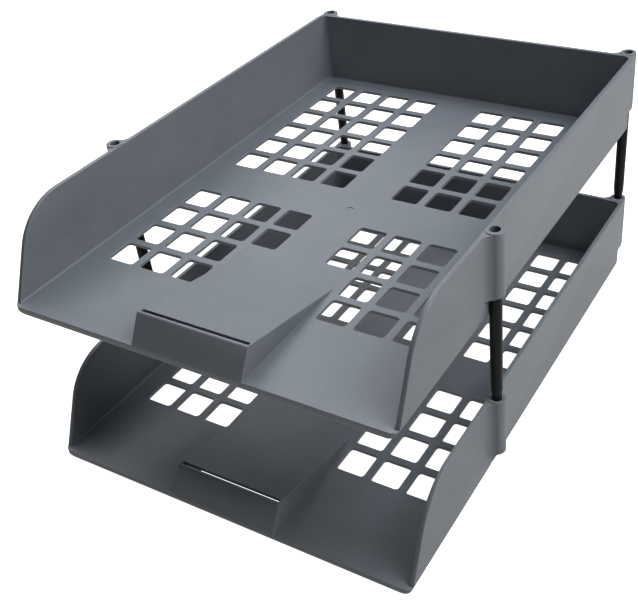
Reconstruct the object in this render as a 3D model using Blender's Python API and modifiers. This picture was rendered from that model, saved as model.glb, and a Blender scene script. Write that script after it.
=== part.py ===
"""Letter tray: two stacked open-front desk trays joined by four riser posts.

The trays are single mouldings, so each one is one closed body. The four risers
are separate plugged posts. World frame: +Z up, +Y towards the closed back,
origin at the centre of the footprint on the desk. All sizes are in metres.
"""
import math

import bmesh
import bpy
from mathutils import Matrix, Vector

MM = 0.001

# Tray shell (heights are measured from the underside of the tray)
TRAY_FRONT_Y = -177.0 * MM
BACK_FLOOR_Y = 165.0 * MM        # inner face of the back wall at floor level
BACK_TOP_Y = 165.2 * MM          # inner face of the back wall at the rim
HALF_FLOOR_X = 123.6 * MM         # inner face of a side wall at floor level
HALF_TOP_X = 123.8 * MM           # inner face of a side wall at the rim
WALL = 2.8 * MM
FLOOR_BOTTOM_Z = 3.1 * MM
FLOOR_TOP_Z = 5.3 * MM
RIM_Z = 57.0 * MM
OUTER_EDGE_R = 7.0 * MM
FRONT_CORNER_R = 5.0 * MM          # plan corners of the front lip
INNER_CORNER_R = 4.0 * MM
INNER_FILLET = 1.5 * MM
FOOT_INSET = 9.6 * MM             # outer face to the recess under the floor

# Sloping front ends of the side walls
SLOPE_START_Y = -125.0 * MM
SLOPE_R = 38.0 * MM
SLOPE_TURN = math.radians(64.0)
SLOPE_END_Z = FLOOR_TOP_Z + 0.3 * MM

# Square perforations
PITCH = 24.0 * MM
HOLE = 19.0 * MM
HOLE_CORNER_R = 2.2 * MM
HOLE_CORNER_STEPS = 2
COLUMN_X = (27.3 * MM, 51.3 * MM, 75.3 * MM, 99.3 * MM)
REAR_ROW_Y = 141.55 * MM
REAR_ROWS = 6
FRONT_ROW_Y = -34.7 * MM
FRONT_ROWS = 4
RAMP_ROWS = 2                     # front rows that lose their innermost hole

# Label ramp at the front
RAMP_HALF_X = 36.7 * MM
RAMP_CREST_Y = -167.4 * MM
RAMP_CREST_Z = 21.6 * MM
RAMP_TIP_Y = -87.4 * MM
RAMP_WALL = 2.3 * MM
RAMP_LEDGE = 0.3 * MM             # front face of the ramp behind the tray edge
SLIT_HALF_X = 35.8 * MM
SLIT_Y = -164.6 * MM
SLIT_WIDTH = 2.2 * MM

# Sockets for the risers
SOCKET_R = 5.4 * MM
SOCKET_BOTTOM_Z = 15.7 * MM
SOCKET_TOP_Z = 57.4 * MM
TOP_BORE_R = 3.1 * MM
TOP_BORE_DEPTH = 14.0 * MM
LOW_BORE_R = 3.95 * MM
LOW_BORE_DEPTH = 22.0 * MM
FRONT_SOCKET = (129.0 * MM, -70.3 * MM)
REAR_SOCKET = (120.6 * MM, 171.6 * MM)
FRONT_WEB_R = 12.9 * MM            # hollow flanks beside a front socket
REAR_WEB_R = 11.1 * MM
WEB_SINK = 0.5 * MM               # how deep a flank starts inside its wall

# Risers and stacking
TIER = 115.0 * MM
FIT = 0.3 * MM
RISER_TOP_R = 3.65 * MM
RISER_LOW_R = 3.55 * MM
SPIGOT_R = 2.8 * MM
TAPER = 8.5 * MM
RISER_CHAMFER = 0.5 * MM
RISER_STEPS = 24

GREY = (0.235, 0.243, 0.268, 1.0)
BLACK = (0.012, 0.012, 0.013, 1.0)


def clear_scene():
    """Remove whatever the start-up file holds."""
    for obj in list(bpy.data.objects):
        bpy.data.objects.remove(obj, do_unlink=True)


def new_collection(name):
    """Make a collection under the scene's own."""
    collection = bpy.data.collections.new(name)
    bpy.context.scene.collection.children.link(collection)
    return collection


def new_material(name, colour, roughness):
    """Make a plain plastic finish."""
    material = bpy.data.materials.new(name)
    material.use_nodes = True
    shader = material.node_tree.nodes["Principled BSDF"]
    shader.inputs["Base Color"].default_value = colour
    shader.inputs["Roughness"].default_value = roughness
    shader.inputs["Metallic"].default_value = 0.0
    material.diffuse_color = colour
    return material


def add_object(name, bm, collection):
    """Turn an edit mesh into an object with outward faces."""
    bmesh.ops.recalc_face_normals(bm, faces=bm.faces)
    mesh = bpy.data.meshes.new(name)
    bm.to_mesh(mesh)
    bm.free()
    obj = bpy.data.objects.new(name, mesh)
    collection.objects.link(obj)
    return obj


def as_cutter(obj):
    """Hide a tool body from renders and show it as wire."""
    obj.hide_render = True
    obj.display_type = "WIRE"
    return obj


def combine(obj, tool, operation):
    """Add one exact Boolean step to an object."""
    step = obj.modifiers.new(tool.name, "BOOLEAN")
    step.object = tool
    step.operation = operation
    step.solver = "EXACT"


def bake(obj):
    """Replace an object's mesh by its modified shape."""
    graph = bpy.context.evaluated_depsgraph_get()
    mesh = bpy.data.meshes.new_from_object(obj.evaluated_get(graph))
    obj.modifiers.clear()
    obj.data = mesh
    bm = bmesh.new()
    bm.from_mesh(mesh)
    bmesh.ops.remove_doubles(bm, verts=bm.verts, dist=0.00001)
    bmesh.ops.recalc_face_normals(bm, faces=bm.faces)
    bm.to_mesh(mesh)
    bm.free()


def box_mesh(x, y, z):
    """Make an edit-mesh box between three (low, high) pairs."""
    bm = bmesh.new()
    centre = Matrix.Translation([(low + high) / 2 for low, high in (x, y, z)])
    size = Matrix.Diagonal([high - low for low, high in (x, y, z)] + [1.0])
    bmesh.ops.create_cube(bm, size=1.0, matrix=centre @ size)
    return bm


def pan_mesh(half_x, back_y, z, half_x_top, back_y_top, front_y):
    """Make a box whose two sides and back lean outwards to the top."""
    bm = box_mesh((-half_x, half_x), (front_y, back_y), z)
    for vert in bm.verts:
        if vert.co.z > sum(z) / 2:
            vert.co.x = math.copysign(half_x_top, vert.co.x)
            if vert.co.y > front_y / 2:
                vert.co.y = back_y_top
    return bm


def upright_back_edges(bm):
    """Find the two corner edges that rise at the back."""
    return [edge for edge in bm.edges
            if abs(edge.verts[0].co.z - edge.verts[1].co.z) > 0.03
            and min(vert.co.y for vert in edge.verts) > 0.1]


def bottom_edges(bm, bottom_z):
    """Find the bottom edges except the one along the front."""
    found = []
    front = min(vert.co.y for vert in bm.verts)
    for edge in bm.edges:
        low = max(vert.co.z for vert in edge.verts) < bottom_z + 0.0001
        at_front = max(vert.co.y for vert in edge.verts) < front + 0.0001
        if low and not at_front:
            found.append(edge)
    return found


def round_edges(bm, edges, radius, steps):
    """Bevel the given edges."""
    bmesh.ops.bevel(bm, geom=edges, offset=radius, offset_type="OFFSET", segments=steps,
                    profile=0.5, affect="EDGES")


def prism(name, loops, low, high, collection, turn=None):
    """Extrude closed outlines along local Z, then turn the result."""
    curve = bpy.data.curves.new(name, "CURVE")
    curve.dimensions = "2D"
    curve.fill_mode = "BOTH"
    curve.extrude = (high - low) / 2
    for loop in loops:
        spline = curve.splines.new("POLY")
        spline.points.add(len(loop) - 1)
        for point, (u, v) in zip(spline.points, loop):
            point.co = (u, v, 0.0, 1.0)
        spline.use_cyclic_u = True
    source = bpy.data.objects.new(name + "_outline", curve)
    collection.objects.link(source)
    graph = bpy.context.evaluated_depsgraph_get()
    flat = bpy.data.meshes.new_from_object(source.evaluated_get(graph))
    bpy.data.objects.remove(source, do_unlink=True)
    bm = bmesh.new()
    bm.from_mesh(flat)
    bpy.data.meshes.remove(flat)
    bmesh.ops.remove_doubles(bm, verts=bm.verts, dist=0.00001)
    bmesh.ops.translate(bm, verts=bm.verts, vec=(0.0, 0.0, (high + low) / 2))
    if turn is not None:
        bmesh.ops.transform(bm, matrix=turn, verts=bm.verts)
    return add_object(name, bm, collection)


# Outline axes (u, v, extrusion) laid onto world (Y, Z, X).
SIDE_ON = Matrix(((0.0, 0.0, 1.0, 0.0), (1.0, 0.0, 0.0, 0.0), (0.0, 1.0, 0.0, 0.0),
                  (0.0, 0.0, 0.0, 1.0)))


def pegs(name, places, radius, low, high, steps, collection):
    """Make upright cylinders at several places as one tool."""
    bm = bmesh.new()
    for x, y in places:
        centre = Matrix.Translation((x, y, (low + high) / 2))
        bmesh.ops.create_cone(bm, cap_ends=True, segments=steps, radius1=radius,
                              radius2=radius, depth=high - low, matrix=centre)
    return add_object(name, bm, collection)


def socket_places():
    """List the four socket axes."""
    return [(side * x, y) for x, y in (FRONT_SOCKET, REAR_SOCKET) for side in (-1, 1)]


def rounded_square(cx, cy):
    """Outline of one perforation."""
    reach = HOLE / 2 - HOLE_CORNER_R
    points = []
    for quarter in range(4):
        start = quarter * math.pi / 2
        corner = Vector((cx, cy)) + Matrix.Rotation(start, 2) @ Vector((reach, reach))
        for step in range(HOLE_CORNER_STEPS + 1):
            angle = start + step * math.pi / 2 / HOLE_CORNER_STEPS
            points.append((corner.x + HOLE_CORNER_R * math.cos(angle),
                           corner.y + HOLE_CORNER_R * math.sin(angle)))
    return points


def hole_rows():
    """List the hole centres of one tray, row by row from the back."""
    rows = [(REAR_ROW_Y - row * PITCH, COLUMN_X) for row in range(REAR_ROWS)]
    for row in range(FRONT_ROWS):
        by_ramp = row >= FRONT_ROWS - RAMP_ROWS
        rows.append((FRONT_ROW_Y - row * PITCH, COLUMN_X[1:] if by_ramp else COLUMN_X))
    return [[(side * x, y) for x in columns for side in (-1, 1)] for y, columns in rows]


def slope_outline():
    """Outline, seen from the side, of what is cut off the wall fronts."""
    above = RIM_Z + 5 * MM
    centre_z = RIM_Z - SLOPE_R
    points = [(SLOPE_START_Y, above)]
    for step in range(7):
        angle = SLOPE_TURN * step / 6
        points.append((SLOPE_START_Y - SLOPE_R * math.sin(angle),
                       centre_z + SLOPE_R * math.cos(angle)))
    last_y, last_z = points[-1]
    points.append((last_y - (last_z - SLOPE_END_Z) / math.tan(SLOPE_TURN), SLOPE_END_Z))
    points.append((TRAY_FRONT_Y - 5 * MM, SLOPE_END_Z))
    points.append((TRAY_FRONT_Y - 5 * MM, above))
    return points


def ramp_outline():
    """Outline, seen from the side, of the solid label ramp."""
    low = FLOOR_BOTTOM_Z + 0.8 * MM
    toe = TRAY_FRONT_Y + RAMP_LEDGE
    return [(toe, low), (toe, FLOOR_TOP_Z), (RAMP_CREST_Y, RAMP_CREST_Z),
            (RAMP_TIP_Y, FLOOR_TOP_Z), (RAMP_TIP_Y, low)]


def ramp_hollow_outline():
    """Outline, seen from the side, of the space under the ramp."""
    rise = Vector((RAMP_CREST_Y - TRAY_FRONT_Y, RAMP_CREST_Z - FLOOR_TOP_Z)).normalized()
    fall = Vector((RAMP_TIP_Y - RAMP_CREST_Y, FLOOR_TOP_Z - RAMP_CREST_Z)).normalized()
    crest = Vector((RAMP_CREST_Y, RAMP_CREST_Z))
    on_front = crest + RAMP_WALL * Vector((rise.y, -rise.x))
    on_top = crest + RAMP_WALL * Vector((fall.y, -fall.x))
    gap = on_top - on_front
    along = (gap.x * fall.y - gap.y * fall.x) / (rise.x * fall.y - rise.y * fall.x)
    peak = on_front + along * rise
    lip = TRAY_FRONT_Y + WALL
    lip_z = peak.y - (peak.x - lip) * rise.y / rise.x
    heel = peak.x + (peak.y - FLOOR_BOTTOM_Z) * fall.x / -fall.y
    return [(lip, -MM), (lip, lip_z), tuple(peak), (heel, FLOOR_BOTTOM_Z), (heel, -MM)]


def tangent(point, centre, radius, side):
    """Touching point of the line from a point to a circle."""
    away = centre - point
    reach = math.sqrt(away.length_squared - radius * radius)
    angle = side * math.asin(radius / away.length)
    return point + Matrix.Rotation(angle, 2) @ away.normalized() * reach


def hollow_flank(socket, normal, along, depth, radius):
    """Arc that blends a wall into a socket, from the wall to the socket.

    The wall plane lies depth behind the socket's axis, against the normal.
    """
    centre, normal, along = Vector(socket), Vector(normal), Vector(along)
    reach = math.sqrt((SOCKET_R + radius) ** 2 - (radius - depth) ** 2)
    pivot = centre + normal * (radius - depth) + along * reach
    turn = (-normal).angle_signed(centre - pivot)
    return [pivot + Matrix.Rotation(-turn * step / 4, 2) @ (-normal * radius)
            for step in range(5)]


def front_web_outline(side):
    """Outline of the web round one front socket."""
    depth = FRONT_SOCKET[0] - (HALF_TOP_X + WALL - WEB_SINK)
    flanks = [hollow_flank(FRONT_SOCKET, (1, 0), (0, way), depth, FRONT_WEB_R)
              for way in (1, -1)]
    root = Vector((HALF_TOP_X + 0.8 * MM, FRONT_SOCKET[1]))
    corners = flanks[0] + [Vector(FRONT_SOCKET)] + flanks[1][::-1] + [root]
    return [(side * corner.x, corner.y) for corner in corners]


def rear_web_outline(side):
    """Outline of the web round one rear socket."""
    depth = REAR_SOCKET[1] - (BACK_TOP_Y + WALL - WEB_SINK)
    flank = hollow_flank(REAR_SOCKET, (0, 1), (-1, 0), depth, REAR_WEB_R)
    end = Vector((HALF_TOP_X + 2.1 * MM, 152.0 * MM))
    touch = tangent(end, Vector(REAR_SOCKET), SOCKET_R, -1)
    root = Vector((HALF_TOP_X - 1.6 * MM, BACK_TOP_Y - 1.6 * MM))
    corners = flank + [Vector(REAR_SOCKET), touch, end, root]
    return [(side * corner.x, corner.y) for corner in corners]


def socket_webs(collection):
    """Make the four webs as separate tools."""
    webs = []
    for side, hand in ((-1, "left"), (1, "right")):
        for end, outline in (("front", front_web_outline(side)), ("rear", rear_web_outline(side))):
            webs.append(prism("web_%s_%s" % (end, hand), [outline], SOCKET_BOTTOM_Z,
                              RIM_Z - 0.2 * MM, collection))
    return webs


def corner_outline(side):
    """Outline, seen from above, of what is cut off one corner of the lip."""
    inset = FRONT_CORNER_R - 0.05 * MM
    outer = HALF_FLOOR_X + WALL
    x, y = outer - inset, TRAY_FRONT_Y + inset
    points = []
    for step in range(7):
        angle = math.radians(-90.0 + 15.0 * step)
        points.append((x + FRONT_CORNER_R * math.cos(angle),
                       y + FRONT_CORNER_R * math.sin(angle)))
    far = 3 * MM
    points += [(outer + far, y), (outer + far, TRAY_FRONT_Y - far), (x, TRAY_FRONT_Y - far)]
    return [(side * u, v) for u, v in points]


def build_tray(name, material, parts, tools):
    """Build one complete tray moulding with its underside at z = 0."""
    lean = (HALF_TOP_X - HALF_FLOOR_X) / (RIM_Z - FLOOR_TOP_Z)
    outer_x = HALF_FLOOR_X + WALL - lean * FLOOR_TOP_Z
    outer_back = BACK_FLOOR_Y + WALL - lean * FLOOR_TOP_Z
    bm = pan_mesh(outer_x, outer_back, (0.0, RIM_Z), HALF_TOP_X + WALL, BACK_TOP_Y + WALL,
                  TRAY_FRONT_Y)
    round_edges(bm, upright_back_edges(bm) + bottom_edges(bm, 0.0), OUTER_EDGE_R, 4)
    tray = add_object(name, bm, parts)

    for web in socket_webs(tools):
        combine(tray, as_cutter(web), "UNION")
    sockets = pegs("sockets", socket_places(), SOCKET_R, SOCKET_BOTTOM_Z, SOCKET_TOP_Z, 24, tools)
    combine(tray, as_cutter(sockets), "UNION")

    over = 8 * MM
    bm = pan_mesh(HALF_FLOOR_X, BACK_FLOOR_Y, (FLOOR_TOP_Z, RIM_Z + over),
                  HALF_TOP_X + lean * over, BACK_TOP_Y + lean * over, TRAY_FRONT_Y - over)
    round_edges(bm, upright_back_edges(bm), INNER_CORNER_R, 3)
    round_edges(bm, bottom_edges(bm, FLOOR_TOP_Z), INNER_FILLET, 1)
    combine(tray, as_cutter(add_object("cavity", bm, tools)), "DIFFERENCE")

    slope = prism("wall_slope", [slope_outline()], -0.14, 0.14, tools, SIDE_ON)
    combine(tray, as_cutter(slope), "DIFFERENCE")
    corners = prism("lip_corners", [corner_outline(side) for side in (-1, 1)], -MM,
                    SLOPE_END_Z + MM, tools)
    combine(tray, as_cutter(corners), "DIFFERENCE")
    bm = box_mesh((FOOT_INSET - outer_x, outer_x - FOOT_INSET),
                  (TRAY_FRONT_Y + WALL, outer_back - FOOT_INSET), (-MM, FLOOR_BOTTOM_Z))
    combine(tray, as_cutter(add_object("foot_recess", bm, tools)), "DIFFERENCE")

    ramp = prism("ramp", [ramp_outline()], -RAMP_HALF_X, RAMP_HALF_X, tools, SIDE_ON)
    combine(tray, as_cutter(ramp), "UNION")
    hollow_x = RAMP_HALF_X - RAMP_WALL
    hollow = prism("ramp_hollow", [ramp_hollow_outline()], -hollow_x, hollow_x, tools, SIDE_ON)
    combine(tray, as_cutter(hollow), "DIFFERENCE")
    bm = box_mesh((-SLIT_HALF_X, SLIT_HALF_X), (SLIT_Y - SLIT_WIDTH / 2, SLIT_Y + SLIT_WIDTH / 2),
                  (RAMP_CREST_Z - 4.5 * MM, RAMP_CREST_Z + 2 * MM))
    combine(tray, as_cutter(add_object("label_slit", bm, tools)), "DIFFERENCE")

    bores = pegs("top_bores", socket_places(), TOP_BORE_R, SOCKET_TOP_Z - TOP_BORE_DEPTH,
                 SOCKET_TOP_Z + MM, 20, tools)
    combine(tray, as_cutter(bores), "DIFFERENCE")
    bores = pegs("low_bores", socket_places(), LOW_BORE_R, -MM,
                 SOCKET_BOTTOM_Z + LOW_BORE_DEPTH, 20, tools)
    combine(tray, as_cutter(bores), "DIFFERENCE")
    for number, places in enumerate(hole_rows()):
        outlines = [rounded_square(*place) for place in places]
        row = prism("hole_row_%d" % number, outlines, FLOOR_BOTTOM_Z - MM, FLOOR_TOP_Z + MM,
                    tools)
        combine(tray, as_cutter(row), "DIFFERENCE")

    bake(tray)
    tray.data.materials.clear()
    tray.data.materials.append(material)
    return tray


def build_riser(name, place, material, parts):
    """Turn one riser about its own upright axis."""
    bottom = SOCKET_TOP_Z - TOP_BORE_DEPTH + FIT
    top = TIER + SOCKET_BOTTOM_Z + LOW_BORE_DEPTH - FIT
    length = top - bottom
    shoulder = SOCKET_TOP_Z - bottom
    profile = [(0.0, length), (RISER_TOP_R - RISER_CHAMFER, length),
               (RISER_TOP_R, length - RISER_CHAMFER), (RISER_LOW_R, shoulder + TAPER),
               (SPIGOT_R, shoulder), (SPIGOT_R, RISER_CHAMFER),
               (SPIGOT_R - RISER_CHAMFER, 0.0), (0.0, 0.0)]
    mesh = bpy.data.meshes.new(name)
    mesh.from_pydata([(x, 0.0, z) for x, z in profile],
                     [(i, i + 1) for i in range(len(profile) - 1)], [])
    riser = bpy.data.objects.new(name, mesh)
    parts.objects.link(riser)
    turn = riser.modifiers.new("turn", "SCREW")
    turn.axis = "Z"
    turn.angle = 2 * math.pi
    turn.steps = RISER_STEPS
    turn.render_steps = RISER_STEPS
    turn.use_merge_vertices = True
    turn.merge_threshold = 0.00005
    turn.use_smooth_shade = True
    turn.use_normal_calculate = True
    bake(riser)
    riser.data.materials.clear()
    riser.data.materials.append(material)
    riser.location = (place[0], place[1], bottom)
    return riser


def main():
    """Build both trays and the four risers."""
    clear_scene()
    parts = new_collection("letter_tray")
    tools = new_collection("letter_tray_tools")
    tools.hide_render = True
    grey = new_material("grey_plastic", GREY, 0.42)
    black = new_material("black_plastic", BLACK, 0.35)

    lower = build_tray("lower_tray", grey, parts, tools)
    upper = bpy.data.objects.new("upper_tray", lower.data.copy())
    upper.location = (0.0, 0.0, TIER)
    parts.objects.link(upper)

    names = ("riser_front_left", "riser_front_right", "riser_rear_left", "riser_rear_right")
    for name, place in zip(names, socket_places()):
        build_riser(name, place, black, parts)


main()
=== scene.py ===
"""Letter tray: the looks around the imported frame.

Two satin grey tray mouldings and four black risers are modelled in detail in
the frame's own place, dressed in moulded plastic and set on a pale table under
soft light. All sizes are in metres; +Z is up and +Y is towards the closed back.
"""
import logging
import math
from dataclasses import dataclass
from enum import Enum
from typing import Callable, Sequence

import bmesh
import bpy
from mathutils import Matrix, Vector


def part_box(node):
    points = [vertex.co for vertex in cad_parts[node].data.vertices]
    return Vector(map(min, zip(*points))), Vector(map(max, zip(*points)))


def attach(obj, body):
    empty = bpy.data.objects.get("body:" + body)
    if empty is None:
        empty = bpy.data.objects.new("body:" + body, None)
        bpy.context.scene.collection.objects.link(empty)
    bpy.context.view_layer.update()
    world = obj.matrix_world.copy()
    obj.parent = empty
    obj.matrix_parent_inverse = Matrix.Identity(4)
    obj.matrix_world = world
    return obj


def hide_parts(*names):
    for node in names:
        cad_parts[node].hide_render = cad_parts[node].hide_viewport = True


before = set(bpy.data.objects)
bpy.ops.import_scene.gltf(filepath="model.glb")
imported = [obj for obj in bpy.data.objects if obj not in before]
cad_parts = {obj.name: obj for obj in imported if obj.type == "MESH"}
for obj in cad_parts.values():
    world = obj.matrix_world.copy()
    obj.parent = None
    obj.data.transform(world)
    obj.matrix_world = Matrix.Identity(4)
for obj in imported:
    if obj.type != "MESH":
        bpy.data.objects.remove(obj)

logging.basicConfig(level=logging.INFO, format="%(levelname)s %(message)s")
LOG = logging.getLogger("letter_tray")

MM = 0.001
SMOOTH_ANGLE = math.radians(32.0)
NEAR = MM / 5  # How far a place may be off when edges are picked
MERGE = 0.004 * MM  # Vertices closer than this become one

Flat = tuple[float, float]
Point = tuple[float, float, float]
Colour = tuple[float, float, float, float]
Test = Callable[[Vector, Vector], bool]
Piece = bpy.types.Object
Socket = bpy.types.NodeSocket


class Axis(Enum):
    """Direction that a traced outline is drawn out along."""

    X = "x"
    Z = "z"


class Operation(Enum):
    """How a tool body changes the piece it meets."""

    JOIN = "UNION"
    CUT = "DIFFERENCE"


class Placed(Enum):
    """A piece, the node it replaces and the body it rides."""

    def __init__(self, piece: str, node: str, body: str) -> None:
        """Keep the three names."""
        self.piece = piece
        self.node = node
        self.body = body


class Tier(Placed):
    """The two trays."""

    LOWER = ("tray_lower", "lower_tray", "lower")
    UPPER = ("tray_upper", "upper_tray", "upper")


class Post(Placed):
    """The four risers."""

    FRONT_LEFT = ("post_front_left", "riser_front_left", "post_front_left")
    FRONT_RIGHT = ("post_front_right", "riser_front_right", "post_front_right")
    REAR_LEFT = ("post_rear_left", "riser_rear_left", "post_rear_left")
    REAR_RIGHT = ("post_rear_right", "riser_rear_right", "post_rear_right")


class Bench:
    """The workbench: adds primitives, selects by place and runs edit tools."""

    @staticmethod
    def clear() -> None:
        """Leave object mode with nothing selected."""
        if bpy.context.object is not None and bpy.context.object.mode != "OBJECT":
            Bench.leave()
        bpy.ops.object.select_all(action="DESELECT")

    @staticmethod
    def take(piece: Piece) -> None:
        """Select one piece alone and make it active."""
        Bench.clear()
        piece.select_set(True)
        bpy.context.view_layer.objects.active = piece

    @staticmethod
    def edit(piece: Piece) -> None:
        """Open one piece in edit mode with all of it selected."""
        Bench.take(piece)
        bpy.ops.object.mode_set(mode="EDIT")
        bpy.ops.mesh.select_all(action="SELECT")

    @staticmethod
    def leave() -> None:
        """Go back to object mode."""
        bpy.ops.object.mode_set(mode="OBJECT")

    @staticmethod
    def settle(piece: Piece) -> None:
        """Move the piece's place, turn and size into its mesh."""
        Bench.take(piece)
        bpy.ops.object.transform_apply(location=True, rotation=True, scale=True)

    @staticmethod
    def name(piece: Piece, title: str) -> Piece:
        """Give a piece and its mesh one name."""
        piece.name = title
        piece.data.name = title
        return piece

    @staticmethod
    def block(title: str, low: Point, high: Point) -> Piece:
        """Add a cube primitive that fills the space between two corners.

        Args:
            title: Name of the piece.
            low: Lowest corner.
            high: Highest corner.

        Returns:
            The block, with its place in its mesh.
        """
        Bench.clear()
        bpy.ops.mesh.primitive_cube_add(size=1.0)
        piece = bpy.context.object
        piece.location = [(a + b) / 2 for a, b in zip(low, high)]
        piece.scale = [b - a for a, b in zip(low, high)]
        Bench.settle(piece)
        return Bench.name(piece, title)

    @staticmethod
    def rod(title: str, place: Flat, radius: float, low: float, high: float, sides: int) -> Piece:
        """Add an upright cylinder primitive.

        Args:
            title: Name of the piece.
            place: Its axis in x and y.
            radius: Its radius.
            low: Height of its lower end.
            high: Height of its upper end.
            sides: Number of sides.

        Returns:
            The cylinder, with its place in its mesh.
        """
        Bench.clear()
        bpy.ops.mesh.primitive_cylinder_add(
            vertices=sides, radius=radius, depth=high - low,
            location=(place[0], place[1], (low + high) / 2))
        piece = bpy.context.object
        Bench.settle(piece)
        return Bench.name(piece, title)

    @staticmethod
    def wire(title: str, points: Sequence[Vector]) -> Piece:
        """Draw a line of edges by extruding one vertex.

        Args:
            title: Name of the piece.
            points: Corners in turn.

        Returns:
            The piece, still in edit mode with all of it selected.
        """
        Bench.clear()
        bpy.ops.mesh.primitive_plane_add(size=0.01, location=points[0])
        piece = Bench.name(bpy.context.object, title)
        Bench.settle(piece)
        Bench.edit(piece)
        bpy.ops.mesh.select_mode(type="VERT")
        bpy.ops.mesh.merge(type="CENTER")
        for start, end in zip(points, points[1:]):
            bpy.ops.mesh.extrude_region_move(TRANSFORM_OT_translate={"value": tuple(end - start)})
        bpy.ops.mesh.select_all(action="SELECT")
        return piece

    @staticmethod
    def traced(title: str, outline: Sequence[Flat], low: float, high: float, axis: Axis) -> Piece:
        """Draw a closed outline, fill it and draw it out.

        Args:
            title: Name of the piece.
            outline: Corners in turn, as (x, y) for Axis.Z and (y, z) for Axis.X.
            low: Where the drawing out starts.
            high: Where it ends.
            axis: Direction of the drawing out.

        Returns:
            The closed prism.
        """
        def place(u: float, v: float) -> Vector:
            """Put an outline corner on the starting plane."""
            return Vector((u, v, low)) if axis is Axis.Z else Vector((low, u, v))

        piece = Bench.wire(title, [place(u, v) for u, v in outline])
        bpy.ops.mesh.edge_face_add()
        reach = high - low
        step = (0.0, 0.0, reach) if axis is Axis.Z else (reach, 0.0, 0.0)
        bpy.ops.mesh.extrude_region_move(TRANSFORM_OT_translate={"value": step})
        bpy.ops.mesh.select_all(action="SELECT")
        bpy.ops.mesh.normals_make_consistent(inside=False)
        Bench.leave()
        return piece

    @staticmethod
    def select(piece: Piece, kind: str, test: Callable[..., bool]) -> int:
        """Enter edit mode and select the edges or the faces that pass a test.

        Args:
            piece: The piece to edit.
            kind: EDGE or FACE.
            test: Called with each edge or face.

        Returns:
            How many are selected.
        """
        Bench.take(piece)
        bpy.ops.object.mode_set(mode="EDIT")
        bpy.ops.mesh.select_mode(type=kind)
        bpy.ops.mesh.select_all(action="DESELECT")
        mesh = bmesh.from_edit_mesh(piece.data)
        chosen = [item for item in (mesh.edges if kind == "EDGE" else mesh.faces) if test(item)]
        for item in chosen:
            item.select_set(True)
        mesh.select_flush_mode()
        bmesh.update_edit_mesh(piece.data)
        return len(chosen)

    @staticmethod
    def select_edges(piece: Piece, test: Test) -> int:
        """Select and count the edges whose two ends pass a test."""
        return Bench.select(piece, "EDGE", lambda edge: test(edge.verts[0].co, edge.verts[1].co))

    @staticmethod
    def select_faces(piece: Piece, test: Test) -> int:
        """Select and count the faces whose centre and normal pass a test."""
        return Bench.select(piece, "FACE",
                            lambda face: test(face.calc_center_median(), face.normal))

    @staticmethod
    def bevel(radius: float, steps: int) -> None:
        """Round the selected edges."""
        bpy.ops.mesh.bevel(offset=radius, offset_type="OFFSET", segments=steps,
                           profile=0.5, affect="EDGES", clamp_overlap=False)

    @staticmethod
    def round_edges(piece: Piece, test: Test, radius: float, steps: int) -> None:
        """Bevel the edges whose two ends pass a test.

        Args:
            piece: The piece to edit.
            test: Called with the places of an edge's two ends.
            radius: How far back the rounding reaches from the edge.
            steps: Number of facets across it.
        """
        if Bench.select_edges(piece, test):
            Bench.bevel(radius, steps)
        Bench.leave()

    @staticmethod
    def trim(piece: Piece, at: Point, outwards: Point) -> None:
        """Cut a piece off along a plane, drop the outer part and close the cut.

        Args:
            piece: The piece to trim.
            at: A point on the plane.
            outwards: Direction of the part that is dropped.
        """
        Bench.edit(piece)
        bpy.ops.mesh.bisect(plane_co=at, plane_no=outwards, use_fill=True, clear_outer=True)
        Bench.leave()

    @staticmethod
    def soften_outline(piece: Piece, region: Test, keep: Test, radius: float, steps: int) -> None:
        """Bevel those edges round a region of faces that pass a test.

        Args:
            piece: The piece to edit.
            region: Called with a face's centre and normal.
            keep: Called with the two ends of each edge round the region.
            radius: How far back the rounding reaches from the edge.
            steps: Number of facets across it.
        """
        Bench.select_faces(piece, region)
        bpy.ops.mesh.region_to_loop()
        mesh = bmesh.from_edit_mesh(piece.data)
        for edge in mesh.edges:
            if edge.select and not keep(edge.verts[0].co, edge.verts[1].co):
                edge.select_set(False)
        mesh.select_flush_mode()
        bmesh.update_edit_mesh(piece.data)
        Bench.bevel(radius, steps)
        Bench.leave()

    @staticmethod
    def combine(piece: Piece, tool: Piece, how: Operation) -> None:
        """Join a tool body to a piece or cut it away, and remove the tool.

        Args:
            piece: The piece that changes.
            tool: The other body.
            how: Join or cut.
        """
        Bench.take(piece)
        step = piece.modifiers.new(tool.name, "BOOLEAN")
        step.object = tool
        step.operation = how.value
        step.solver = "EXACT"
        bpy.ops.object.modifier_apply(modifier=step.name)
        bpy.data.objects.remove(tool, do_unlink=True)

    @staticmethod
    def copy(piece: Piece, title: str, shift: Point) -> Piece:
        """Copy a piece with its own mesh and move the copy's mesh.

        Args:
            piece: The piece to copy.
            title: Name of the copy.
            shift: How far the copy is moved.

        Returns:
            The copy, with its place in its mesh.
        """
        twin = piece.copy()
        twin.data = piece.data.copy()
        bpy.context.scene.collection.objects.link(twin)
        twin.location = shift
        Bench.settle(twin)
        return Bench.name(twin, title)

    @staticmethod
    def join(title: str, pieces: Sequence[Piece]) -> Piece:
        """Make one object of several without changing their shapes."""
        Bench.clear()
        for piece in pieces:
            piece.select_set(True)
        bpy.context.view_layer.objects.active = pieces[0]
        bpy.ops.object.join()
        return Bench.name(pieces[0], title)

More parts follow.
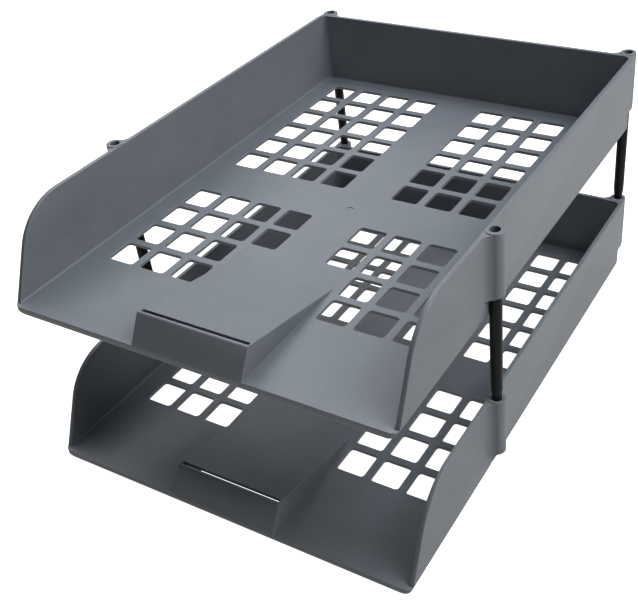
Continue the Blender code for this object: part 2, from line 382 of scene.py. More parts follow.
    @staticmethod
    def mirror_x(piece: Piece, title: str) -> Piece:
        """Make the same shape for the other side of the tray.

        Args:
            piece: A body on one side.
            title: Name of its twin.

        Returns:
            The twin, with its faces outwards.
        """
        twin = Bench.copy(piece, title, (0.0, 0.0, 0.0))
        Bench.edit(twin)
        bpy.ops.transform.resize(value=(-1.0, 1.0, 1.0), center_override=(0.0, 0.0, 0.0))
        bpy.ops.mesh.normals_make_consistent(inside=False)
        Bench.leave()
        return twin

    @staticmethod
    def clean(piece: Piece) -> None:
        """Merge doubled vertices and shade the piece smooth up to its edges."""
        Bench.edit(piece)
        bpy.ops.mesh.remove_doubles(threshold=MERGE)
        bpy.ops.mesh.dissolve_degenerate(threshold=MERGE)
        Bench.leave()
        bpy.ops.object.shade_smooth_by_angle(angle=SMOOTH_ANGLE)


def arc(centre: Flat, radius: float, start: float, turn: float, steps: int) -> list[Flat]:
    """List points along an arc.

    Args:
        centre: Middle of the arc.
        radius: Its radius.
        start: Angle of its first point.
        turn: Angle that it covers.
        steps: Number of straight steps.

    Returns:
        The points, both ends included.
    """
    return [(centre[0] + radius * math.cos(start + turn * i / steps),
             centre[1] + radius * math.sin(start + turn * i / steps))
            for i in range(steps + 1)]


def bearing(azimuth: float, elevation: float) -> Vector:
    """Point away from the object, at an azimuth from the front round by the right."""
    return Vector((math.sin(azimuth) * math.cos(elevation),
                   -math.cos(azimuth) * math.cos(elevation), math.sin(elevation)))


class Nodes:
    """A node tree under construction."""

    def __init__(self, tree: bpy.types.NodeTree) -> None:
        """Keep the tree and the column of the next node."""
        self.tree = tree
        self.column = 0

    def add(self, kind: str, **settings: object) -> bpy.types.Node:
        """Add a node and set its properties.

        Args:
            kind: Node type.
            settings: Properties by name.

        Returns:
            The node.
        """
        node = self.tree.nodes.new(kind)
        node.location = (180.0 * self.column, -120.0 * (self.column % 4))
        self.column += 1
        for key, value in settings.items():
            setattr(node, key, value)
        return node

    def link(self, source: Socket, target: Socket) -> None:
        """Join two sockets."""
        self.tree.links.new(source, target)

    def feed(self, node: bpy.types.Node, **values: object) -> bpy.types.Node:
        """Fill a node's inputs with numbers or links.

        Args:
            node: The node.
            values: Input names, with _ for a space, or i and the input's place, and a
                number, colour or socket each.

        Returns:
            The same node.
        """
        for key, value in values.items():
            place = int(key[1:]) if key[0] == "i" and key[1:].isdigit() else key.replace("_", " ")
            target = node.inputs[place]
            if isinstance(value, Socket):
                self.link(value, target)
            else:
                target.default_value = value
        return node

    def math(self, operation: str, first: object, second: object = 0.0) -> Socket:
        """Add a Math node.

        Args:
            operation: Its operation.
            first: Number or socket.
            second: Number or socket.

        Returns:
            Its output.
        """
        node = self.add("ShaderNodeMath", operation=operation)
        self.feed(node, i0=first, i1=second)
        return node.outputs[0]

    def spread(self, value: Socket, low: float, high: float, out_low: float = 0.0,
               out_high: float = 1.0) -> Socket:
        """Add a Map Range node from one span of values to another.

        Args:
            value: What is mapped.
            low: Start of its span.
            high: End of its span.
            out_low: Result at the start.
            out_high: Result at the end.

        Returns:
            The mapped value, held within the new span.
        """
        node = self.add("ShaderNodeMapRange")
        self.feed(node, Value=value, From_Min=low, From_Max=high, To_Min=out_low, To_Max=out_high)
        return node.outputs["Result"]


class Effect:
    """A shader node group that several finishes share."""

    def __init__(self, title: str, inputs: Sequence[tuple[str, str, float]],
                 outputs: Sequence[str]) -> None:
        """Open a new group.

        Args:
            title: Name of the group.
            inputs: Name, socket type and starting value of each input.
            outputs: Names of its value outputs.
        """
        self.tree = bpy.data.node_groups.new(title, "ShaderNodeTree")
        for label, kind, value in inputs:
            socket = self.tree.interface.new_socket(label, in_out="INPUT", socket_type=kind)
            if kind == "NodeSocketFloat":
                socket.default_value = value
        for label in outputs:
            self.tree.interface.new_socket(label, in_out="OUTPUT", socket_type="NodeSocketFloat")
        self.nodes = Nodes(self.tree)
        self.source = self.nodes.add("NodeGroupInput").outputs
        self.sink = self.nodes.add("NodeGroupOutput").inputs

    def place(self, nodes: Nodes, **values: object) -> bpy.types.Node:
        """Put the group into a material.

        Args:
            nodes: The material's tree.
            values: Inputs of the group.

        Returns:
            The group node.
        """
        node = nodes.add("ShaderNodeGroup", node_tree=self.tree)
        return nodes.feed(node, **values)


class MouldGrain(Effect):
    """The fine tooth that a spark-finished mould leaves, over slow ripples."""

    def __init__(self) -> None:
        """Build the group."""
        super().__init__("mould_grain", [("Vector", "NodeSocketVector", 0.0),
                                         ("Grain Scale", "NodeSocketFloat", 1400.0),
                                         ("Ripple Scale", "NodeSocketFloat", 16.0),
                                         ("Ripple", "NodeSocketFloat", 0.5)],
                         ["Height", "Mottle"])
        n = self.nodes
        grain = n.feed(n.add("ShaderNodeTexNoise"), Vector=self.source["Vector"],
                       Scale=self.source["Grain Scale"], Detail=2.0, Roughness=0.6)
        ripple = n.feed(n.add("ShaderNodeTexNoise"), Vector=self.source["Vector"],
                        Scale=self.source["Ripple Scale"], Detail=1.0, Roughness=0.4)
        slow = n.math("MULTIPLY", ripple.outputs["Fac"], self.source["Ripple"])
        n.link(n.math("ADD", grain.outputs["Fac"], slow), self.sink["Height"])
        mottle = n.feed(n.add("ShaderNodeTexNoise"), Vector=self.source["Vector"],
                        Scale=n.math("MULTIPLY", self.source["Ripple Scale"], 2.7),
                        Detail=4.0, Roughness=0.55, Distortion=0.6)
        n.link(n.spread(mottle.outputs["Fac"], 0.25, 0.75), self.sink["Mottle"])


class HandlingWear(Effect):
    """Faint scuffs: short hairlines in two directions, broken up in patches."""

    def __init__(self) -> None:
        """Build the group."""
        super().__init__("handling_wear", [("Vector", "NodeSocketVector", 0.0),
                                           ("Scale", "NodeSocketFloat", 60.0),
                                           ("Amount", "NodeSocketFloat", 0.3)],
                         ["Mask"])
        n = self.nodes
        lines = []
        for turn, stretch in ((0.5, (1.0, 26.0, 26.0)), (-0.9, (22.0, 1.0, 22.0))):
            spun = n.feed(n.add("ShaderNodeMapping"), Vector=self.source["Vector"],
                          Rotation=(0.0, 0.0, turn), Scale=stretch)
            hair = n.feed(n.add("ShaderNodeTexNoise"), Vector=spun.outputs[0],
                          Scale=self.source["Scale"], Detail=3.0, Roughness=0.7)
            lines.append(n.spread(hair.outputs["Fac"], 0.64, 0.72))
        patch = n.feed(n.add("ShaderNodeTexNoise"), Vector=self.source["Vector"],
                       Scale=n.math("MULTIPLY", self.source["Scale"], 0.35), Detail=2.0,
                       Roughness=0.5)
        where = n.spread(patch.outputs["Fac"], 0.48, 0.68)
        both = n.math("MAXIMUM", lines[0], lines[1])
        scaled = n.math("MULTIPLY", n.math("MULTIPLY", both, where), self.source["Amount"])
        n.link(scaled, self.sink["Mask"])


class EdgeHighlight(Effect):
    """Painted highlight along edges: where an edge turns, outer or inner, a Bevel node's normal
    leaves the true normal and the mask rises.
    """

    def __init__(self) -> None:
        """Build the group."""
        super().__init__("painted_edge_highlight", [("Radius", "NodeSocketFloat", 0.0008),
                                        ("Amount", "NodeSocketFloat", 1.0)], ["Mask"])
        n = self.nodes
        soft = n.feed(n.add("ShaderNodeBevel", samples=4), Radius=self.source["Radius"])
        true = n.add("ShaderNodeNewGeometry")
        meet = n.add("ShaderNodeVectorMath", operation="DOT_PRODUCT")
        n.feed(meet, i0=soft.outputs[0], i1=true.outputs["Normal"])
        # Painted highlight mask: rises as the rounded normal turns away from the true normal.
        turned = n.spread(meet.outputs["Value"], 0.995, 0.8)
        n.link(n.math("MULTIPLY", turned, self.source["Amount"]), self.sink["Mask"])


@dataclass(frozen=True)
class MouldedPlastic:
    """A satin injection-moulded plastic."""

    title: str
    colour: Colour
    # Colour of the scuffs and of the painted edge highlight.
    worn_and_highlight: Colour
    roughness: float
    grain: float
    grain_scale: float
    wear: float
    # Strength of the painted edge highlight.
    edge: float
    specular: float = 0.5
    speckle: float = 0.06

    def build(self, grain: MouldGrain, wear: HandlingWear, edge: EdgeHighlight
              ) -> bpy.types.Material:
        """Make the material.

        Args:
            grain: The shared tooth of the mould.
            wear: The shared scuffs.
            edge: The shared painted highlight along edges.

        Returns:
            The finished material.
        """
        material = bpy.data.materials.new(self.title)
        material.use_nodes = True
        n = Nodes(material.node_tree)
        shader = material.node_tree.nodes["Principled BSDF"]
        n.feed(shader, Metallic=0.0, IOR=1.5, Specular_IOR_Level=self.specular)
        place = n.add("ShaderNodeTexCoord").outputs["Object"]
        tooth = grain.place(n, Vector=place, Grain_Scale=self.grain_scale)
        scuff = wear.place(n, Vector=place, Amount=self.wear)
        # Painted highlight: the edge mask, like the scuffs, lightens the colour towards the second
        # colour along edges.
        rim = edge.place(n, Amount=self.edge)
        wear_and_highlight = n.math("MAXIMUM", scuff.outputs["Mask"], rim.outputs["Mask"])
        shade = n.add("ShaderNodeMix", data_type="RGBA")
        n.feed(shade, Factor=wear_and_highlight)
        shade.inputs[6].default_value = self.colour
        shade.inputs[7].default_value = self.worn_and_highlight
        tone = n.feed(n.add("ShaderNodeHueSaturation"), Color=shade.outputs[2])
        speck = n.spread(tooth.outputs["Height"], 0.45, 1.05, -self.speckle, self.speckle)
        cloud = n.spread(tooth.outputs["Mottle"], 0.0, 1.0, 0.95, 1.05)
        n.link(n.math("ADD", cloud, speck), tone.inputs["Value"])
        n.link(tone.outputs[0], shader.inputs["Base Color"])
        uneven = n.spread(tooth.outputs["Mottle"], 0.0, 1.0, self.roughness - 0.03,
                          self.roughness + 0.03)
        polished = n.math("SUBTRACT", uneven, n.math("MULTIPLY", rim.outputs["Mask"], 0.08))
        rough = n.math("ADD", polished, n.math("MULTIPLY", scuff.outputs["Mask"], 0.25))
        n.link(rough, shader.inputs["Roughness"])
        bump = n.add("ShaderNodeBump")
        n.feed(bump, Strength=self.grain, Distance=0.0001, Height=tooth.outputs["Height"])
        n.link(bump.outputs[0], shader.inputs["Normal"])
        return material


@dataclass
class DressedPart:
    """A part that is covered by one finish."""

    finish: bpy.types.Material

    def dress(self, piece: Piece) -> None:
        """Give a piece the finish."""
        piece.data.materials.clear()
        piece.data.materials.append(self.finish)


@dataclass
class TrayMoulding(DressedPart):
    """One tray, moulded in one piece with its underside at z = 0."""

    front_y: float = -177.0 * MM
    back_floor_y: float = 165.0 * MM
    back_top_y: float = 165.2 * MM
    half_floor_x: float = 123.6 * MM
    half_top_x: float = 123.8 * MM
    wall: float = 2.8 * MM
    floor_under: float = 3.1 * MM
    floor_top: float = 5.3 * MM
    rim: float = 57.0 * MM
    outer_round: float = 7.0 * MM
    front_corner: float = 5.0 * MM
    lip_round: float = 1.8 * MM
    inner_corner: float = 4.0 * MM
    inner_fillet: float = 1.5 * MM
    foot_inset: float = 9.6 * MM
    softening: float = 0.4 * MM
    rim_softening: float = 0.6 * MM
    # Sloping wall fronts
    slope_start_y: float = -125.0 * MM
    slope_radius: float = 38.0 * MM
    slope_turn: float = math.radians(64.0)
    slope_lift: float = 0.05 * MM
    slope_reach: float = 140.0 * MM
    softened_from: float = 8.0 * MM
    # Perforations
    pitch: float = 24.0 * MM
    hole: float = 19.0 * MM
    hole_corner: float = 2.2 * MM
    hole_softening: float = 0.25 * MM
    inner_column_x: float = 27.3 * MM
    rear_row_y: float = 141.55 * MM
    front_row_y: float = -34.7 * MM
    # Label ramp
    ramp_half_x: float = 36.7 * MM
    crest_y: float = -167.4 * MM
    crest_z: float = 21.6 * MM
    tip_y: float = -87.4 * MM
    ramp_wall: float = 2.3 * MM
    ramp_toe: float = 0.8 * MM
    front_shave: float = 0.02 * MM
    shave_half_x: float = 200.0 * MM
    shave_high: float = 30.0 * MM
    crest_round: float = 1.0 * MM
    slit_half_x: float = 35.8 * MM
    slit_y: float = -164.6 * MM
    slit_width: float = 2.5 * MM
    slit_depth: float = 4.5 * MM
    # Sockets
    socket_r: float = 5.4 * MM
    socket_low: float = 15.7 * MM
    socket_high: float = 57.4 * MM
    top_bore_r: float = 3.1 * MM
    top_bore_depth: float = 14.0 * MM
    low_bore_r: float = 3.95 * MM
    low_bore_top: float = 37.7 * MM
    front_socket: Flat = (129.0 * MM, -70.3 * MM)
    rear_socket: Flat = (120.6 * MM, 171.6 * MM)
    front_web_r: float = 8.0 * MM
    rear_web_r: float = 8.0 * MM
    web_sink: float = 0.5 * MM
    post_root: float = 0.9 * MM
    web_grip: float = 0.06 * MM
    web_root: float = 0.5 * MM
    web_rise: float = 0.3 * MM
    web_drop: float = 0.2 * MM
    rear_web_end: Flat = (2.1 * MM, 152.0 * MM)
    rear_web_root: Flat = (0.2 * MM, 0.1 * MM)
    socket_round: float = 1.8 * MM
    bore_sides: int = 40
    socket_sides: int = 48
    # Mark of the moulding gate
    gate_place: Flat = (0.0, -10.0 * MM)
    gate_r: float = 3.0 * MM
    gate_depth: float = 0.35 * MM
    nub_r: float = 1.1 * MM
    nub_low: float = 0.6 * MM
    nub_high: float = 0.1 * MM

    def lean(self) -> float:
        """Say how far the walls lean out for each unit of height."""
        return (self.half_top_x - self.half_floor_x) / (self.rim - self.floor_top)

    def leaning_block(self, title: str, half_x: float, back_y: float, front_y: float,
                      low: float, high: float) -> Piece:
        """Add a block whose sides and back lean out towards the top.

        Args:
            title: Name of the block.
            half_x: Half its width at its underside.
            back_y: Its back at the underside.
            front_y: Its upright front.
            low: Height of its underside.
            high: Height of its top.

        Returns:
            The block.
        """
        block = Bench.block(title, (-half_x, front_y, low), (half_x, back_y, high))
        spread = self.lean() * (high - low)
        Bench.select_faces(block, lambda centre, normal: normal.z > 0.9)
        bpy.ops.transform.resize(value=(1.0 + spread / half_x, 1.0, 1.0),
                                 center_override=(0.0, 0.0, high))
        Bench.select_edges(block, lambda a, b: min(a.z, b.z) > high - MM / 10
                           and min(a.y, b.y) > back_y - MM)
        bpy.ops.transform.translate(value=(0.0, spread, 0.0))
        Bench.leave()
        return block

    def upright_back(self, a: Vector, b: Vector) -> bool:
        """Pick the two upright edges at the back of a block."""
        return abs(a.z - b.z) > self.rim / 2 and min(a.y, b.y) > 0.0

    def slope_outline(self) -> list[Flat]:
        """List the side view of what is cut off the fronts of the walls."""
        end_z = self.floor_top + self.slope_lift
        above, before = self.rim + 5 * MM, self.front_y - 5 * MM
        curve = arc((self.slope_start_y, self.rim - self.slope_radius), self.slope_radius,
                    math.pi / 2, self.slope_turn, 20)
        last_y, last_z = curve[-1]
        foot = (last_y - (last_z - end_z) / math.tan(self.slope_turn), end_z)
        return [(self.slope_start_y, above), *curve, foot, (before, end_z), (before, above)]

    def corner_outline(self, side: int) -> list[Flat]:
        """List the plan of what is cut off one corner of the lip."""
        inset = self.front_corner - 0.05 * MM
        outer = self.half_floor_x + self.wall
        x, y = outer - inset, self.front_y + inset
        far = 3 * MM
        plan = arc((x, y), self.front_corner, -math.pi / 2, math.pi / 2, 12)
        plan += [(outer + far, y), (outer + far, self.front_y - far), (x, self.front_y - far)]
        return [(side * u, v) for u, v in plan]

    def outer_body(self) -> Piece:
        """Shape the outside of the tray as one solid block.

        Returns:
            The block with its sloping front, round bottom edges and soft rim.
        """
        sink = self.lean() * self.floor_top
        half_x = self.half_floor_x + self.wall - sink
        back_y = self.back_floor_y + self.wall - sink
        body = self.leaning_block("tray", half_x, back_y, self.front_y, 0.0, self.rim)

        def bottom(a: Vector, b: Vector) -> bool:
            """Pick the bottom edges but the front one."""
            return max(a.z, b.z) < NEAR and max(a.y, b.y) > self.front_y + NEAR

        def front_bottom(a: Vector, b: Vector) -> bool:
            """Pick the bottom edge of the front with the turns at its ends."""
            low = max(a.z, b.z) < self.outer_round + NEAR
            return low and max(a.y, b.y) < self.front_y + NEAR

        Bench.round_edges(body, lambda a, b: self.upright_back(a, b) or bottom(a, b),
                          self.outer_round, 8)
        Bench.round_edges(body, front_bottom, self.lip_round, 4)
        slope = Bench.traced("slope", self.slope_outline(), -self.slope_reach,
                             self.slope_reach, Axis.X)
        Bench.combine(body, slope, Operation.CUT)
        for side in (-1, 1):
            corner = Bench.traced("corner", self.corner_outline(side), -MM,
                                  self.floor_top + MM, Axis.Z)
            Bench.combine(body, corner, Operation.CUT)

        def top(a: Vector, b: Vector) -> bool:
            """Pick the outer edges of the rim, the slopes and the lip's straight front."""
            on_wall = max(a.z, b.z) > self.floor_top + MM
            front = max(a.y, b.y) < self.front_y + NEAR and abs(a.x - b.x) > self.half_floor_x
            return on_wall or front

        Bench.soften_outline(body, lambda centre, normal: normal.z > 0.1, top,
                             self.rim_softening, 3)
        return body

    def socket_post(self, place: Flat) -> Piece:
        """Shape one socket's outside, with a round bottom and a soft top edge."""
        post = Bench.rod("socket", place, self.socket_r, self.socket_low, self.socket_high,
                         self.socket_sides)
        low, high = self.socket_low + MM / 10, self.socket_high - MM / 10
        Bench.round_edges(post, lambda a, b: max(a.z, b.z) < low, self.socket_round, 5)
        Bench.round_edges(post, lambda a, b: min(a.z, b.z) > high, self.softening, 3)
        if place == self.front_socket:
            Bench.trim(post, (self.half_top_x + self.post_root, 0.0, 0.0), (-1.0, 0.0, 0.0))
        return post

    def hollow_flank(self, socket: Flat, normal: Flat,
                     along: Flat, depth: float, radius: float) -> list[Vector]:
        """Blend a wall into a socket with an arc, from the wall to the socket.

        Args:
            socket: The socket's axis.
            normal: Direction out of the wall.
            along: Direction along the wall, away from the socket.
            depth: How far behind the axis the arc leaves the wall.
            radius: The arc's radius.

        Returns:
            The points of the arc.
        """
        centre, out, away = Vector(socket), Vector(normal), Vector(along)
        grip = self.socket_r - self.web_grip
        reach = math.sqrt((grip + radius) ** 2 - (radius - depth) ** 2)
        pivot = centre + out * (radius - depth) + away * reach
        turn = (-out).angle_signed(centre - pivot)
        return [pivot + Matrix.Rotation(-turn * i / 10, 2) @ (-out * radius)
                for i in range(11)]

    def front_web(self) -> Piece:
        """Shape the web round the right front socket, hollow on both flanks."""
        x, y = self.front_socket
        depth = x - (self.half_top_x + self.wall - self.web_sink)
        first, second = (self.hollow_flank(self.front_socket, (1, 0), (0, way), depth,
                                           self.front_web_r) for way in (1, -1))
        outline = [*first, (x, y), *second[::-1], (self.half_top_x + self.web_root, y)]
        return self.web("web_front", outline)

    def rear_web(self) -> Piece:
        """Shape the web round the right rear socket, straight on its side flank."""
        centre = Vector(self.rear_socket)
        depth = centre.y - (self.back_top_y + self.wall - self.web_sink)
        flank = self.hollow_flank(self.rear_socket, (0, 1), (-1, 0), depth, self.rear_web_r)
        out, end_y = self.rear_web_end
        end = Vector((self.half_top_x + out, end_y))
        away = centre - end
        grip = self.socket_r - self.web_grip
        reach = math.sqrt(away.length_squared - grip ** 2)
        turn = Matrix.Rotation(-math.asin(grip / away.length), 2)
        touch = end + turn @ away.normalized() * reach
        in_x, in_y = self.rear_web_root
        root = (self.half_top_x - in_x, self.back_top_y - in_y)
        return self.web("web_rear", [*flank, centre, touch, end, root])

    def web(self, title: str, outline: Sequence[Sequence[float]]) -> Piece:
        """Draw out one web, from just over the socket's foot to just under the rim."""
        return Bench.traced(title, [tuple(point) for point in outline],
                            self.socket_low + self.web_rise, self.rim - self.web_drop,
                            Axis.Z)

    def add_sockets(self, tray: Piece) -> None:
        """Join the four sockets and their webs to the tray."""
        for body in (self.front_web(), self.socket_post(self.front_socket), self.rear_web(),
                     self.socket_post(self.rear_socket)):
            twin = Bench.mirror_x(body, body.name + "_left")
            Bench.combine(tray, body, Operation.JOIN)
            Bench.combine(tray, twin, Operation.JOIN)

    def hollow_out(self, tray: Piece) -> None:
        """Cut the paper bay with its soft inner edges and the recess under the floor."""
        over = 8 * MM
        bay = self.leaning_block("bay", self.half_floor_x, self.back_floor_y,
                                 self.front_y - over, self.floor_top, self.rim + over)
        floor = self.floor_top
        Bench.round_edges(bay, self.upright_back, self.inner_corner, 6)
        Bench.round_edges(bay, lambda a, b: max(a.z, b.z) < floor + NEAR
                          and max(a.y, b.y) > self.front_y, self.inner_fillet, 4)
        Bench.combine(tray, bay, Operation.CUT)

        def strip(centre: Vector, normal: Vector) -> bool:
            """Pick the top faces of the walls."""
            return normal.z > 0.1 and centre.z > floor + 2 * self.inner_fillet

        def inner(a: Vector, b: Vector) -> bool:
            """Pick the edges over the bay."""
            return (max(abs(a.x), abs(b.x)) < self.half_top_x + NEAR
                    and max(a.y, b.y) < self.back_top_y + NEAR
                    and max(a.z, b.z) > self.softened_from)

        Bench.soften_outline(tray, strip, inner, self.softening, 3)
        sink = self.lean() * self.floor_top
        half_x = self.half_floor_x + self.wall - sink - self.foot_inset
        back_y = self.back_floor_y + self.wall - sink - self.foot_inset
        recess = Bench.block("recess", (-half_x, self.front_y + self.wall, -MM),
                             (half_x, back_y, self.floor_under))
        Bench.combine(tray, recess, Operation.CUT)

    def ramp_body(self) -> Piece:
        """Shape the solid label ramp, its front face running on below the floor.

        Returns:
            The ramp.
        """
        low = self.floor_under + self.ramp_toe
        pace = (self.crest_y - self.front_y) / (self.crest_z - self.floor_top)
        toe = self.front_y - (self.floor_top - low) * pace
        outline = [(toe, low), (self.crest_y, self.crest_z), (self.tip_y, self.floor_top),
                   (self.tip_y, low)]
        ramp = Bench.traced("ramp", outline, -self.ramp_half_x, self.ramp_half_x, Axis.X)

        def crest(a: Vector, b: Vector) -> bool:
            """Pick the long edge at the top."""
            return min(a.z, b.z) > self.crest_z - NEAR

        def flank(a: Vector, b: Vector) -> bool:
            """Pick the edges down the two sides."""
            return abs(a.x - b.x) < NEAR and max(a.z, b.z) > self.floor_top + NEAR

        Bench.round_edges(ramp, crest, self.crest_round, 5)
        Bench.round_edges(ramp, flank, self.softening, 3)
        return ramp

    def ramp_hollow(self) -> Piece:
        """Shape the space under the label ramp, one wall thickness inside it.

        Returns:
            The cutter.
        """
        rise = Vector((self.crest_y - self.front_y, self.crest_z - self.floor_top)).normalized()
        fall = Vector((self.tip_y - self.crest_y, self.floor_top - self.crest_z)).normalized()
        crest = Vector((self.crest_y, self.crest_z))
        on_front = crest + self.ramp_wall * Vector((rise.y, -rise.x))
        on_top = crest + self.ramp_wall * Vector((fall.y, -fall.x))
        gap = on_top - on_front
        along = ((gap.x * fall.y - gap.y * fall.x) / (rise.x * fall.y - rise.y * fall.x))
        peak = on_front + along * rise
        lip = self.front_y + self.wall
        lip_z = peak.y - (peak.x - lip) * rise.y / rise.x
        heel = peak.x + (peak.y - self.floor_under) * fall.x / -fall.y
        return Bench.traced("hollow", [(lip, -MM), (lip, lip_z), tuple(peak),
                                       (heel, self.floor_under), (heel, -MM)],
                            self.ramp_wall - self.ramp_half_x,
                            self.ramp_half_x - self.ramp_wall, Axis.X)

    def add_ramp(self, tray: Piece) -> None:
        """Join the label ramp, hollow it from below and cut its label slit."""
        Bench.combine(tray, self.ramp_body(), Operation.JOIN)
        shave, over = self.front_y + self.front_shave, 5 * MM
        edge = Bench.block("edge", (-self.shave_half_x, shave - over, -over),
                           (self.shave_half_x, shave, self.shave_high))
        Bench.combine(tray, edge, Operation.CUT)
        Bench.combine(tray, self.ramp_hollow(), Operation.CUT)
        slit = Bench.block("slit", (-self.slit_half_x, self.slit_y - self.slit_width / 2,
                                    self.crest_z - self.slit_depth),
                           (self.slit_half_x, self.slit_y + self.slit_width / 2,
                            self.crest_z + 2 * MM))
        Bench.combine(tray, slit, Operation.CUT)

    def mark_gate(self, tray: Piece) -> None:
        """Press the round mark that the moulding gate leaves in the floor."""
        top = self.floor_top
        ring = Bench.rod("gate", self.gate_place, self.gate_r, top - self.gate_depth, top + MM, 32)
        nub = Bench.rod("gate_nub", self.gate_place, self.nub_r, top - self.nub_low,
                        top - self.nub_high, 16)
        Bench.combine(ring, nub, Operation.CUT)
        Bench.combine(tray, ring, Operation.CUT)

    def bore_sockets(self, tray: Piece) -> None:
        """Cut the upper and lower bores of the four sockets."""
        bores = (("top_bore", self.top_bore_r, self.socket_high - self.top_bore_depth,
                  self.socket_high + MM),
                 ("low_bore", self.low_bore_r, -MM, self.low_bore_top))
        for x, y in (self.front_socket, self.rear_socket):
            for side in (-1, 1):
                for title, radius, low, high in bores:
                    bore = Bench.rod(title, (side * x, y), radius, low, high, self.bore_sides)
                    Bench.combine(tray, bore, Operation.CUT)

    def hole_tool(self) -> Piece:
        """Shape the cutter of one perforation, flared at both floor faces.

        Returns:
            The cutter at the middle of the tray.
        """
        half, soft = self.hole / 2, self.hole_softening
        low, high = self.floor_under + soft, self.floor_top - soft
        tool = Bench.block("hole", (-half, -half, low), (half, half, high))
        Bench.round_edges(tool, lambda a, b: abs(a.z - b.z) > MM, self.hole_corner, 5)
        reach = soft + MM
        flare = 1.0 + reach / half
        for up in (1, -1):
            Bench.select_faces(tool, lambda centre, normal: normal.z * up > 0.9)
            bpy.ops.mesh.extrude_region_move(
                TRANSFORM_OT_translate={"value": (0.0, 0.0, up * reach)})
            bpy.ops.transform.resize(value=(flare, flare, 1.0), center_override=(0.0, 0.0, 0.0))
            Bench.leave()
        return tool

    def perforate(self, tray: Piece) -> None:
        """Cut the rows of square holes, row by row from the back."""
        tool = self.hole_tool()
        columns = [self.inner_column_x + i * self.pitch for i in range(4)]
        rows = [(self.rear_row_y - i * self.pitch, columns) for i in range(6)]
        rows += [(self.front_row_y - i * self.pitch, columns if i < 2 else columns[1:])
                 for i in range(4)]
        for y, xs in rows:
            row = Bench.join("hole_row", [Bench.copy(tool, "hole_copy", (side * x, y, 0.0))
                                          for x in xs for side in (-1, 1)])
            Bench.combine(tray, row, Operation.CUT)
        bpy.data.objects.remove(tool, do_unlink=True)

    def build(self) -> Piece:
        """Build the whole moulding.

        Returns:
            The tray with its underside at z = 0.
        """
        tray = self.outer_body()
        self.hollow_out(tray)
        self.add_sockets(tray)
        self.add_ramp(tray)
        self.mark_gate(tray)
        self.bore_sockets(tray)
        self.perforate(tray)
        Bench.clean(tray)
        return tray


@dataclass
class Riser(DressedPart):
    """One black riser, turned about an upright axis through the origin."""

    low: float = 43.7 * MM
    high: float = 152.4 * MM
    shoulder: float = 57.4 * MM
    taper: float = 8.5 * MM
    top_r: float = 3.65 * MM
    foot_r: float = 3.55 * MM
    spigot_r: float = 2.8 * MM
    chamfer: float = 0.5 * MM
    seam: float = 0.02 * MM
    sides: int = 48

    def profile(self) -> list[Flat]:
        """List the radius and height of the riser's outline from the bottom up."""
        neck = [(self.spigot_r + (self.foot_r - self.spigot_r) * (t * t * (3 - 2 * t)),
                 self.shoulder + self.taper * t) for t in (i / 6 for i in range(7))]
        crown = arc((self.top_r - self.chamfer, self.high - self.chamfer), self.chamfer,
                    0.0, math.pi / 2, 4)
        return [(0.0, self.low), (self.spigot_r - self.chamfer, self.low),
                (self.spigot_r, self.low + self.chamfer), *neck, *crown, (0.0, self.high)]

    def build(self) -> Piece:
        """Spin the outline into a closed body.

        Returns:
            The riser on the origin's axis.
        """
        riser = Bench.wire("riser", [Vector((radius, 0.0, height))
                                     for radius, height in self.profile()])
        bpy.ops.mesh.spin(steps=self.sides, angle=2 * math.pi, center=(0.0, 0.0, 0.0),
                          axis=(0.0, 0.0, 1.0))
        bpy.ops.mesh.select_all(action="SELECT")
        bpy.ops.mesh.remove_doubles(threshold=self.seam)
        bpy.ops.mesh.normals_make_consistent(inside=False)
        Bench.leave()
        bpy.ops.object.shade_smooth_by_angle(angle=SMOOTH_ANGLE)
        return riser


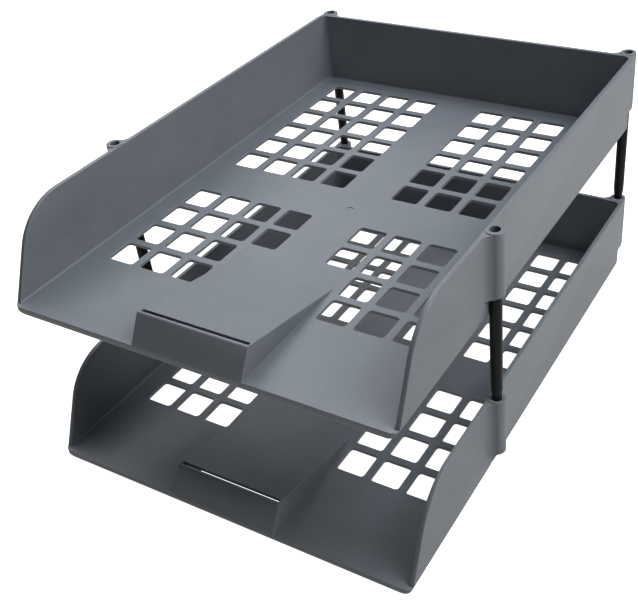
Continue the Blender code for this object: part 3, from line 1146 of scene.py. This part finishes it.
@dataclass
class Studio:
    """Table, light and camera."""

    table_size: float = 8.0
    table_drop: float = 0.2 * MM
    table_colour: Colour = (0.4, 0.4, 0.4, 1.0)
    table_bounce: Colour = (0.44, 0.43, 0.41, 1.0)
    table_glow: float = 0.6
    box_size: Flat = (1.3, 1.3)
    box_reach: float = 2.0
    box_aim: Point = (0.0, 0.0, 0.08)
    fill: float = 0.01
    view_gamma: float = 0.8
    camera_place: Point = (0.3050, -0.4590, 0.4427)
    azimuth: float = math.radians(31.71)
    elevation: float = math.radians(34.81)
    roll: float = math.radians(-4.79)
    lens: float = 55.53
    shift: Flat = (-0.1138, -0.0370)

    def camera(self) -> None:
        """Aim the camera."""
        roll = self.roll
        back = bearing(self.azimuth, self.elevation)
        right = Vector((math.cos(self.azimuth), math.sin(self.azimuth), 0.0))
        up = back.cross(right)
        right, up = (math.cos(roll) * right + math.sin(roll) * up,
                     math.cos(roll) * up - math.sin(roll) * right)
        data = bpy.data.cameras.new("camera")
        data.lens = self.lens
        data.sensor_width = 36.0
        data.shift_x, data.shift_y = self.shift
        data.clip_start = 0.01
        data.clip_end = 50.0
        camera = bpy.data.objects.new("camera", data)
        bpy.context.scene.collection.objects.link(camera)
        turn = Matrix((right, up, back)).transposed().to_4x4()
        camera.matrix_world = Matrix.Translation(self.camera_place) @ turn
        bpy.context.scene.camera = camera

    def table(self) -> None:
        """Lay the pale table top."""
        Bench.clear()
        bpy.ops.mesh.primitive_plane_add(size=self.table_size,
                                         location=(0.0, 0.0, -self.table_drop))
        top = Bench.name(bpy.context.object, "table_top")
        material = bpy.data.materials.new("pale_table")
        material.use_nodes = True
        n = Nodes(material.node_tree)
        shader = material.node_tree.nodes["Principled BSDF"]
        n.feed(shader, Base_Color=self.table_colour, Roughness=0.9, Specular_IOR_Level=0.0)
        seen = n.add("ShaderNodeLightPath").outputs["Is Camera Ray"]
        bounce = n.feed(n.add("ShaderNodeEmission"), Color=self.table_bounce, Strength=1.0)
        glow = n.feed(n.add("ShaderNodeEmission"), Color=(1.0, 1.0, 1.0, 1.0),
                      Strength=n.math("MULTIPLY", seen, self.table_glow))
        lit = shader
        for more in (bounce, glow):
            lit = n.feed(n.add("ShaderNodeAddShader"), i0=lit.outputs[0], i1=more.outputs[0])
        n.link(lit.outputs[0], material.node_tree.nodes["Material Output"].inputs["Surface"])
        top.data.materials.append(material)

    def softbox(self, title: str, azimuth: float, elevation: float, power: float,
                colour: tuple[float, float, float]) -> None:
        """Hang one soft light that faces the object.

        Args:
            title: Name of the light.
            azimuth: Its direction in degrees, from the front round by the right.
            elevation: Its height in degrees.
            power: Its power in watts.
            colour: Its tint.
        """
        away = bearing(math.radians(azimuth), math.radians(elevation))
        data = bpy.data.lights.new(title, "AREA")
        data.shape = "RECTANGLE"
        data.size, data.size_y = self.box_size
        data.energy = power
        data.color = colour
        light = bpy.data.objects.new(title, data)
        bpy.context.scene.collection.objects.link(light)
        light.location = Vector(self.box_aim) + away * self.box_reach
        light.rotation_euler = (-away).to_track_quat("-Z", "Y").to_euler()

    def surroundings(self) -> None:
        """Make a world that looks white but adds little light of its own."""
        world = bpy.data.worlds.new("studio")
        bpy.context.scene.world = world
        world.use_nodes = True
        n = Nodes(world.node_tree)
        seen = n.add("ShaderNodeLightPath").outputs["Is Camera Ray"]
        n.feed(world.node_tree.nodes["Background"], Color=(1.0, 1.0, 1.0, 1.0),
               Strength=n.spread(seen, 0.0, 1.0, self.fill, 1.0))

    def light(self) -> None:
        """Set the soft studio light and the way tones are shown."""
        self.surroundings()
        self.softbox("box_right", 100.0, 38.0, 23.0, (1.0, 0.93, 0.90))
        self.softbox("box_high_right", 95.0, 66.0, 21.0, (0.93, 0.98, 1.0))
        self.softbox("box_back_left", 225.0, 38.0, 10.5, (1.0, 0.98, 0.97))
        self.softbox("box_high_left", 235.0, 66.0, 16.5, (0.96, 0.96, 1.0))
        view = bpy.context.scene.view_settings
        view.view_transform = "Standard"
        view.look = "None"
        view.exposure = 0.0
        view.gamma = self.view_gamma

    def build(self) -> None:
        """Set up the whole studio."""
        self.camera()
        self.table()
        self.light()


def main() -> None:
    """Build the pieces, hang them on the frame and light them."""
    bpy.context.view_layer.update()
    grain, wear, edge = MouldGrain(), HandlingWear(), EdgeHighlight()
    # edge sets the strength of the painted edge highlight; the second colour serves both the
    # scuffs and that painted highlight.
    grey = MouldedPlastic("satin_grey_plastic", colour=(0.212, 0.235, 0.262, 1.0),
                          worn_and_highlight=(0.32, 0.34, 0.365, 1.0), roughness=0.42, grain=0.40,
                          grain_scale=1500.0, wear=0.12, edge=0.85)
    black = MouldedPlastic("satin_black_plastic", colour=(0.008, 0.008, 0.009, 1.0),
                           worn_and_highlight=(0.04, 0.04, 0.042, 1.0), roughness=0.36, grain=0.15,
                           grain_scale=1800.0, wear=0.2, edge=0.25, specular=0.35)
    grey_finish = grey.build(grain, wear, edge)
    black_finish = black.build(grain, wear, edge)

    moulding = TrayMoulding(finish=grey_finish)
    master = moulding.build()
    moulding.dress(master)
    for tier in Tier:
        low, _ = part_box(tier.node)
        tray = Bench.copy(master, tier.piece, (0.0, 0.0, low.z))
        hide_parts(tier.node)
        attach(tray, tier.body)
        LOG.info("%s: %d faces on body %s", tray.name, len(tray.data.polygons), tier.body)
    bpy.data.objects.remove(master, do_unlink=True)

    riser = Riser(finish=black_finish)
    pattern = riser.build()
    riser.dress(pattern)
    for post in Post:
        low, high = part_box(post.node)
        middle = (low + high) / 2
        piece = Bench.copy(pattern, post.piece, (middle.x, middle.y, 0.0))
        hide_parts(post.node)
        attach(piece, post.body)
        LOG.info("%s: %d faces on body %s", piece.name, len(piece.data.polygons), post.body)
    bpy.data.objects.remove(pattern, do_unlink=True)

    Studio().build()


if __name__ == "__main__":
    main()
